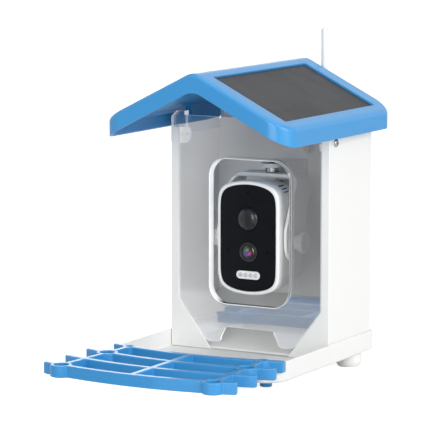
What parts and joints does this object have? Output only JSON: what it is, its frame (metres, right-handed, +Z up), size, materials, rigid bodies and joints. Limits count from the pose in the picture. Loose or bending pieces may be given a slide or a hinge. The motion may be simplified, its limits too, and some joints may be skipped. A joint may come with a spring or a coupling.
{
  "type": "smart bird feeder",
  "caption": "Gable-roofed bird feeder with seed tray, ladder perch, clear hinged front, lift-off solar roof, antenna and a camera head on a tilting yoke",
  "frame": {"origin": "centre of the bounding box in X and Y, at the level that the feet stand on", "axes": "+Z up, +X to the right of the house seen from its front, +Y towards its back; the perch points to -Y"},
  "size_m": [0.1986, 0.3468, 0.322],
  "materials": {
    "white_abs": "white moulded ABS, satin",
    "blue_abs": "mid-blue moulded ABS, satin",
    "clear_acrylic": "clear acrylic sheet, polished",
    "black_gloss": "piano-black polycarbonate",
    "smoke_dome": "dark smoked polyethylene",
    "black_plastic": "black moulded plastic",
    "lens_glass": "coated optical glass",
    "led_window": "translucent polycarbonate",
    "led": "clear epoxy lamp",
    "solar_cell": "dark silicon cells",
    "solar_laminate": "matte laminate over dark cells",
    "circuit_board": "green solder mask",
    "battery_can": "shrink-wrapped cell",
    "black_rubber": "black silicone rubber",
    "grey_rubber": "light grey silicone rubber",
    "chrome": "bright nickel-chrome plate",
    "brass": "turned brass"
  },
  "bodies": {
    "house": {"base_tray": "white_abs", "rear_foot_left": "white_abs", "rear_foot_right": "white_abs", "front_foot_left": "blue_abs", "front_foot_right": "blue_abs", "house_body": "white_abs", "seed_ramp": "white_abs", "pivot_screw_left": "chrome", "pivot_screw_right": "chrome", "perch": "blue_abs", "camera_hanger": "white_abs", "hanger_screw_left": "chrome", "hanger_screw_right": "chrome", "antenna_barrel": "brass", "antenna_nut": "brass"},
    "roof": {"roof_shell": "blue_abs", "solar_cells": "solar_cell", "solar_glass": "solar_laminate", "solar_junction_box": "black_plastic"},
    "window": {"front_window": "clear_acrylic"},
    "yoke": {"camera_yoke": "white_abs"},
    "camera": {"camera_front_bezel": "white_abs", "camera_rear_shell": "white_abs", "camera_face": "black_gloss", "pir_dome": "smoke_dome", "lens_barrel": "black_plastic", "lens_glass": "lens_glass", "sensor_board": "circuit_board", "led_window": "led_window", "led_1": "led", "led_2": "led", "led_3": "led", "led_4": "led", "camera_board": "circuit_board", "battery_left": "battery_can", "battery_right": "battery_can", "battery_holder": "black_plastic", "speaker": "black_plastic", "shell_gasket": "black_rubber", "port_cover": "grey_rubber", "pivot_insert_left": "brass", "pivot_insert_right": "brass", "tilt_washer_left": "black_rubber", "tilt_washer_right": "black_rubber"},
    "button": {"power_button": "grey_rubber"},
    "knob_left": {"tilt_knob_left": "white_abs"},
    "knob_right": {"tilt_knob_right": "white_abs"},
    "thumb_screw": {"yoke_screw": "chrome"},
    "antenna_base": {"antenna_knuckle": "white_abs", "antenna_pin": "chrome"},
    "antenna_rod": {"antenna_whip": "white_abs"}
  },
  "joints": [
    {"name": "roof_lift", "type": "slide", "parent": "house", "child": "roof", "axis": [0, 0, 1], "range_m": [0, 0.12]},
    {"name": "window_swing", "type": "hinge", "parent": "house", "child": "window", "pos_m": [0, 0.05987, 0.222], "axis": [-1, 0, 0], "range_deg": [0, 35]},
    {"name": "yoke_swivel", "type": "hinge", "parent": "house", "child": "yoke", "pos_m": [0, 0.09438, 0.186], "axis": [0, 0, 1], "range_deg": [-6, 6]},
    {"name": "camera_tilt", "type": "hinge", "parent": "yoke", "child": "camera", "pos_m": [0, 0.07287, 0.123], "axis": [-1, 0, 0], "range_deg": [-10, 12]},
    {"name": "knob_left_turn", "type": "hinge", "parent": "camera", "child": "knob_left", "pos_m": [-0.044, 0.07287, 0.123], "axis": [1, 0, 0], "continuous": true},
    {"name": "knob_right_turn", "type": "hinge", "parent": "camera", "child": "knob_right", "pos_m": [0.044, 0.07287, 0.123], "axis": [1, 0, 0], "continuous": true},
    {"name": "thumb_screw_turn", "type": "hinge", "parent": "house", "child": "thumb_screw", "pos_m": [0, 0.09438, 0.19], "axis": [0, 0, 1], "continuous": true},
    {"name": "power_press", "type": "slide", "parent": "camera", "child": "button", "axis": [0, -1, 0], "range_m": [0, 0.0008], "stiffness_N_per_m": 600, "springref_m": -0.001},
    {"name": "antenna_swivel", "type": "hinge", "parent": "house", "child": "antenna_base", "pos_m": [0.0187, 0.15175, 0.206], "axis": [0, 1, 0], "range_deg": [-90, 90]},
    {"name": "antenna_fold", "type": "hinge", "parent": "antenna_base", "child": "antenna_rod", "pos_m": [0.0187, 0.16787, 0.206], "axis": [-1, 0, 0], "range_deg": [0, 90]}
  ]
}
